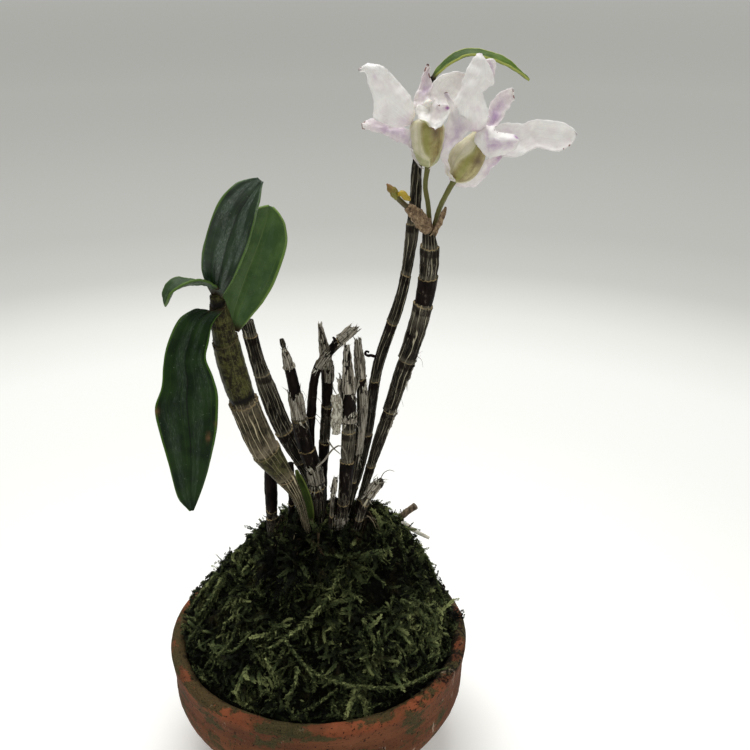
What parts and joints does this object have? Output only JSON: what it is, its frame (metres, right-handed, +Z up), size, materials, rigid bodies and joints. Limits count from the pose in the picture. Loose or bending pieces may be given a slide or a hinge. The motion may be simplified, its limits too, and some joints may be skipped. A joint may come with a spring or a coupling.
{
  "type": "potted dendrobium orchid",
  "caption": "Small dendrobium orchid with jointed canes, green leaves and white flowers, growing from a moss mound in a shallow terracotta bowl.",
  "frame": {"origin": "middle of the bowl's flat underside", "axes": "+Z up, +X to the flowers' side, -Y the front from which the plant is seen"},
  "size_m": [0.0991, 0.08, 0.187],
  "materials": {
    "terracotta": "unglazed, weathered, algae-stained",
    "soil": "damp bark and moss peat",
    "moss": "feathery, matte",
    "rootstock": "rough bark",
    "olive_cane": "fleshy, satin, papery below",
    "dark_cane": "dark, finely ribbed, with papery rings",
    "papery_skin": "dry, fibrous",
    "leaf": "waxy satin leaf",
    "pedicel": "satin stalk",
    "dried_scale": "wrinkled, dry",
    "pale_root": "spongy, matte",
    "chin": "fleshy, slightly translucent",
    "petal": "thin crystalline petal, faint lavender veins",
    "sepal": "thin petal flushed lavender"
  },
  "bodies": {
    "root": {"pot": "terracotta", "growing_medium": "soil", "moss_mound": "moss", "rootstock": "rootstock", "cane_leafy": "olive_cane", "cane_striped": "dark_cane", "cane_tapered": "dark_cane", "cane_bent": "dark_cane", "cane_papery": "dark_cane", "cane_frayed": "dark_cane", "cane_rear": "dark_cane", "cane_slender": "dark_cane", "cane_flowering": "dark_cane", "cane_old_left": "dark_cane", "cane_old_thin": "dark_cane", "stub_right": "papery_skin", "stub_front": "papery_skin", "leaf_upright": "leaf", "leaf_broad": "leaf", "leaf_small": "leaf", "leaf_hanging": "leaf", "leaf_top": "leaf", "new_shoot": "leaf", "pedicel_left": "pedicel", "pedicel_right": "pedicel", "bract": "dried_scale", "spent_bud": "dried_scale", "twig": "rootstock", "aerial_root": "pale_root", "skin_scrap": "papery_skin", "flower_left_column": "chin", "flower_left_lip": "petal", "flower_left_petal_left": "petal", "flower_left_petal_right": "petal", "flower_left_sepal_left": "sepal", "flower_left_sepal_right": "sepal", "flower_left_dorsal_sepal": "sepal", "flower_right_column": "chin", "flower_right_lip": "petal", "flower_right_petal_left": "petal", "flower_right_petal_right": "petal", "flower_right_sepal_left": "sepal", "flower_right_sepal_right": "sepal", "flower_right_dorsal_sepal": "sepal"}
  },
  "joints": []
}
